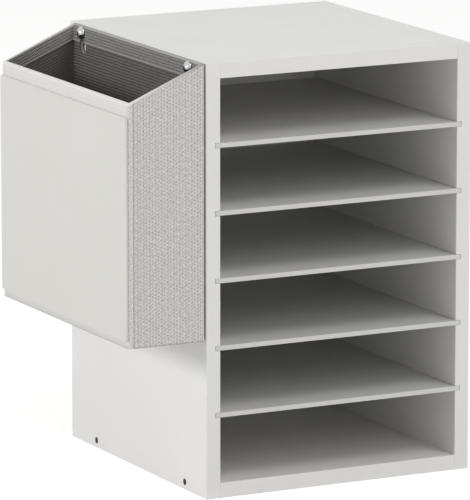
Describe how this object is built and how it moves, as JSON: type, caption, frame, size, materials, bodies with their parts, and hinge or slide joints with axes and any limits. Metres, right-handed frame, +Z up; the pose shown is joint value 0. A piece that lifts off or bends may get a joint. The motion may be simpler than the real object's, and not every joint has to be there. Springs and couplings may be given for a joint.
{
  "type": "desktop file sorter",
  "caption": "Upright desktop file sorter: an open-front laminate cabinet with pull-out shelves for letter-size paper, and a fabric-covered pocket that hangs on its side.",
  "frame": {"origin": "centre of the cabinet's base, on the surface it stands on", "axes": "+Z up, -Y to the open front, +X to the right as seen from the front; the pocket hangs on the -X side"},
  "size_m": [0.401, 0.325, 0.458],
  "materials": {
    "laminate": "white melamine laminate on chipboard, satin",
    "edge_strip": "white edge strip, satin",
    "shelf_board": "white-lacquered hardboard, satin",
    "hardboard": "white-lacquered hardboard, matt",
    "screw_steel": "zinc-plated steel",
    "dowel_wood": "turned beech, bare",
    "grey_board": "grey bookbinding board",
    "ribbed_fabric": "rib-knitted polyester, light grey",
    "lining_fabric": "ribbed polyester, dark grey",
    "tape": "ribbed woven tape, grey",
    "facing": "fine smooth cloth on a thin board, warm white",
    "plate_steel": "zinc-plated sheet steel",
    "felt": "dark grey felt",
    "chrome": "polished chrome plating",
    "nylon": "natural nylon",
    "insert_brass": "turned brass"
  },
  "bodies": {
    "cabinet": {"left_side_panel": "laminate", "right_side_panel": "laminate", "top_panel": "laminate", "bottom_panel": "laminate", "back_panel": "hardboard", "left_edge_band": "edge_strip", "right_edge_band": "edge_strip", "top_edge_band": "edge_strip", "bottom_edge_band": "edge_strip", "corner_screws": "screw_steel", "corner_dowels": "dowel_wood", "back_screws": "screw_steel", "hanging_studs": "chrome", "stud_washers": "nylon", "stud_inserts": "insert_brass"},
    "shelf_1": {"shelf_1": "shelf_board"},
    "shelf_2": {"shelf_2": "shelf_board"},
    "shelf_3": {"shelf_3": "shelf_board"},
    "shelf_4": {"shelf_4": "shelf_board"},
    "shelf_5": {"shelf_5": "shelf_board"},
    "pocket": {"pocket_back_board": "grey_board", "pocket_outer_board": "grey_board", "pocket_front_board": "grey_board", "pocket_rear_board": "grey_board", "pocket_base_board": "grey_board", "pocket_cover": "ribbed_fabric", "pocket_lining": "lining_fabric", "rim_tape": "tape", "facing_panel": "facing", "keyhole_plates": "plate_steel", "pocket_pads": "felt"}
  },
  "joints": [
    {"name": "shelf_1_slide", "type": "slide", "parent": "cabinet", "child": "shelf_1", "axis": [0, -1, 0], "range_m": [0, 0.3]},
    {"name": "shelf_2_slide", "type": "slide", "parent": "cabinet", "child": "shelf_2", "axis": [0, -1, 0], "range_m": [0, 0.3]},
    {"name": "shelf_3_slide", "type": "slide", "parent": "cabinet", "child": "shelf_3", "axis": [0, -1, 0], "range_m": [0, 0.3]},
    {"name": "shelf_4_slide", "type": "slide", "parent": "cabinet", "child": "shelf_4", "axis": [0, -1, 0], "range_m": [0, 0.3]},
    {"name": "shelf_5_slide", "type": "slide", "parent": "cabinet", "child": "shelf_5", "axis": [0, -1, 0], "range_m": [0, 0.3]},
    {"name": "pocket_lift", "type": "slide", "parent": "cabinet", "child": "pocket", "axis": [0, 0, 1], "range_m": [0, 0.015]}
  ]
}
